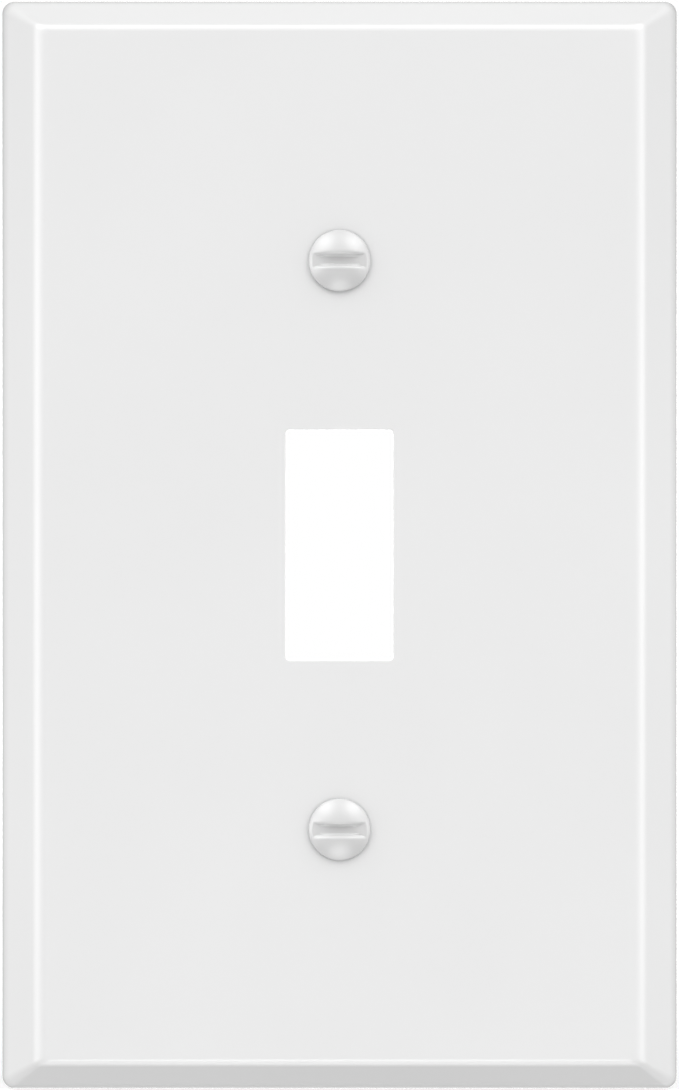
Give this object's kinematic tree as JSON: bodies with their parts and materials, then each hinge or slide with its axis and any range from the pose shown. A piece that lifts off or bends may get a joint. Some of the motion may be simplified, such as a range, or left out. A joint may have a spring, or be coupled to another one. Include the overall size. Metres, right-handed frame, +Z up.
{
  "type": "toggle switch wall plate cover",
  "caption": "White enamelled pressed-steel wall plate cover for one toggle switch, with bevelled mitred borders, a toggle opening and slotted oval-head screws seated in dimples.",
  "frame": {"origin": "centre of the cover's outline on the wall plane, level with the middle of the toggle opening", "axes": "+Z up, along the cover's long side and towards the upper screw; +Y into the wall, so the front faces -Y; +X to the right as seen from the front"},
  "size_m": [0.073, 0.0139, 0.1174],
  "materials": {
    "plate_enamel": "gloss white enamel with a faint orange peel, on steel sheet",
    "screw_enamel": "gloss white enamel on the head; the rest of the screw is zinc",
    "screw_zinc": "bright zinc plating on the cone, shank and thread",
    "nylon": "natural nylon, satin"
  },
  "bodies": {
    "cover": {"cover_plate": "plate_enamel"},
    "upper_washer": {"upper_screw_washer": "nylon"},
    "upper_screw": {"upper_screw": "screw_enamel"},
    "lower_washer": {"lower_screw_washer": "nylon"},
    "lower_screw": {"lower_screw": "screw_enamel"}
  },
  "joints": [
    {"name": "upper_screw_slide", "type": "slide", "parent": "cover", "child": "upper_washer", "axis": [0, -1, 0], "range_m": [0, 0.0022]},
    {"name": "upper_screw_turn", "type": "hinge", "parent": "upper_washer", "child": "upper_screw", "pos_m": [0, 0, 0.03016], "axis": [0, -1, 0], "continuous": true},
    {"name": "lower_screw_slide", "type": "slide", "parent": "cover", "child": "lower_washer", "axis": [0, -1, 0], "range_m": [0, 0.0022]},
    {"name": "lower_screw_turn", "type": "hinge", "parent": "lower_washer", "child": "lower_screw", "pos_m": [0, 0, -0.03016], "axis": [0, -1, 0], "continuous": true}
  ]
}
